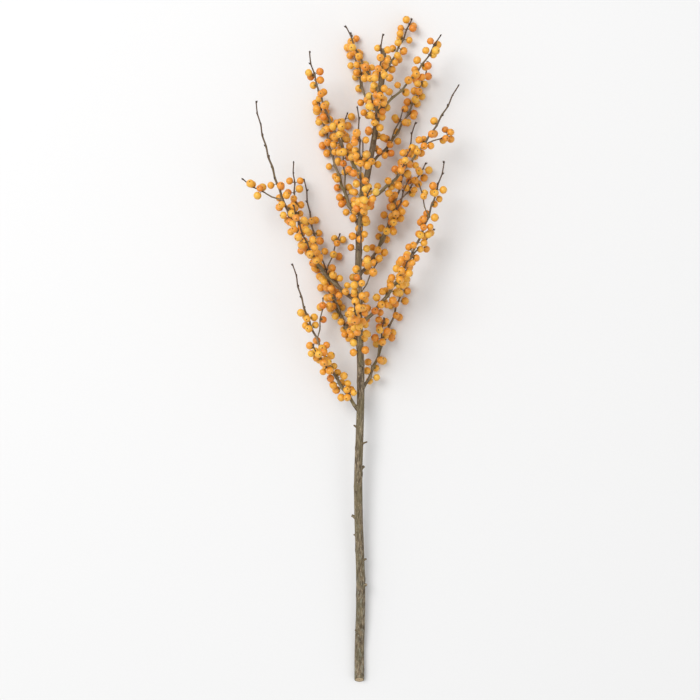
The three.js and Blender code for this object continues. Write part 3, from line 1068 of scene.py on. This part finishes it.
berry_shape = bmesh.new()
last_ring = len(BERRY_RINGS) - 1
bmesh.ops.create_uvsphere(berry_shape, u_segments=BERRY_FACETS, v_segments=last_ring, radius=1)
fruit = berry_shape.verts.layers.float_vector.new("fruit")
berry_shape.verts.layers.float.new("tint")
for corner in berry_shape.verts:
    ring = round(acos(max(-1, min(1, corner.co.z))) / pi * last_ring)
    degrees, distance = BERRY_RINGS[ring]
    angle = radians(degrees)
    around = corner.co.xy.normalized() if 0 < ring < last_ring else Vector((0, 0))
    corner[fruit] = (around.x * sin(angle), around.y * sin(angle), cos(angle))
    corner.co = distance * Vector(corner[fruit])
    corner.co.z *= BERRY_OBLATE
for face in berry_shape.faces:
    face.smooth = True
berry_mesh = bpy.data.meshes.new("one berry")
berry_shape.to_mesh(berry_mesh)
berry_shape.free()


def berries_piece(name, berries, draw):
    """All the berries of one shoot, each turned its own way on its stalk."""
    shape = bmesh.new()
    shape.from_mesh(berry_mesh)  # for the attributes of a berry's corners, before the corners themselves
    bmesh.ops.delete(shape, geom=shape.verts, context="VERTS")
    for berry in berries:
        first = len(shape.verts)
        shape.from_mesh(berry_mesh)
        shape.verts.ensure_lookup_table()
        corners = shape.verts[first:]
        stray = BERRY_HANG_RANGE * (np.array((draw(), draw(), draw())) - 0.5)
        axis = Vector(unit(berry["centre"] - berry["root"]) + stray)
        turned = axis.to_track_quat("Z", "Y").to_matrix().to_4x4() @ Matrix.Rotation(tau * draw(), 4, "Z")
        size = Matrix.Diagonal((mix(*BERRY_WIDTHS, draw()), 1, mix(*BERRY_LENGTHS, draw()), 1))
        sized = Matrix.Scale(RIPE_SWELL * berry["radius"], 4) @ size
        bmesh.ops.transform(shape, matrix=Matrix.Translation(berry["centre"]) @ turned @ sized, verts=corners)
        tint = shape.verts.layers.float["tint"]
        shade = draw()
        for corner in corners:
            corner[tint] = shade
            corner.co.z = max(0, corner.co.z)
    return finished_piece(shape, name, berry_skin)


berry_draw = seeded_draws(BERRY_SEED)
for fork, twigs in zip(forks, shoots):
    name = f"{fork['name']}_berries"
    berries = berries_piece(name, [berry for twig in twigs for berry in twig["berries"]], berry_draw)
    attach(berries, "root")
    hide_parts(fork["name"])

leader_berries = berries_piece("leader_berries", leader_line["berries"], berry_draw)
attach(leader_berries, "root")
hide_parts("leader")

wood = new_wood()
for berry in leader_line["berries"]:
    grow_stalk(wood, berry)
leader_stalks = finished_piece(wood, "leader_stalks", shoot_bark, bud_scales, stalk_skin)
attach(leader_stalks, "root")
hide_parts("leader")


# The table is a plain matt white top that the branch lies on. A large soft light hangs over it on the upper
# left and a weak one on the lower right, in a pale room, and the camera looks straight down.

TABLE_REACH = 6
LIGHTS = [  # (name, place, size, power)
    ("key", (-1.9, 2.0, 3.8), 2.8, 126),
    ("fill", (2.2, -1.4, 2.6), 2.2, 12),
]
LIGHTS_AIM = Vector((0, 0.4, 0))
ROOM_BRIGHTNESS = 0.66
VIEW_CENTRE = Vector((-0.012, 0.401, 0.03))
VIEW_HEIGHT = 0.885
CAMERA_DISTANCE = 2.4
SENSOR_WIDTH = 36

table_shape = bmesh.new()
bmesh.ops.create_grid(table_shape, x_segments=8, y_segments=8, size=TABLE_REACH)
table_mesh = bpy.data.meshes.new("table")
table_shape.to_mesh(table_mesh)
table_shape.free()
table = bpy.data.objects.new("table", table_mesh)
bpy.context.scene.collection.objects.link(table)
table_paint = Finish("table paint", {"Specular IOR Level": 0.2})
place = table_paint.node("ShaderNodeTexCoord", {}, {}, "Object")
grit = table_paint.noise(place, (400, 400, 400), detail=2)
table_paint.feed(table_paint.surface, {
    "Base Color": table_paint.blend(grit, (0.81, 0.81, 0.81), (0.79, 0.79, 0.79)),
    "Roughness": 0.75 + 0.1 * grit,
})
table_mesh.materials.append(table_paint.material)

for name, place, size, power in LIGHTS:
    light = bpy.data.lights.new(name, "AREA")
    light.shape = "DISK"
    light.size = size
    light.energy = power
    lamp = bpy.data.objects.new(name, light)
    lamp.location = place
    lamp.rotation_euler = (Vector(place) - LIGHTS_AIM).to_track_quat("Z", "Y").to_euler()
    bpy.context.scene.collection.objects.link(lamp)

world = bpy.data.worlds.new("studio")
world.use_nodes = True
background = world.node_tree.nodes["Background"]
background.inputs["Color"].default_value = (1, 1, 1, 1)
background.inputs["Strength"].default_value = ROOM_BRIGHTNESS
bpy.context.scene.world = world
bpy.context.scene.view_settings.view_transform = "Standard"

camera_data = bpy.data.cameras.new("camera")
camera_data.sensor_width = SENSOR_WIDTH
camera_data.lens = SENSOR_WIDTH * CAMERA_DISTANCE / VIEW_HEIGHT
camera = bpy.data.objects.new("camera", camera_data)
camera.location = VIEW_CENTRE + Vector((0, 0, CAMERA_DISTANCE))
bpy.context.scene.collection.objects.link(camera)
bpy.context.scene.camera = camera
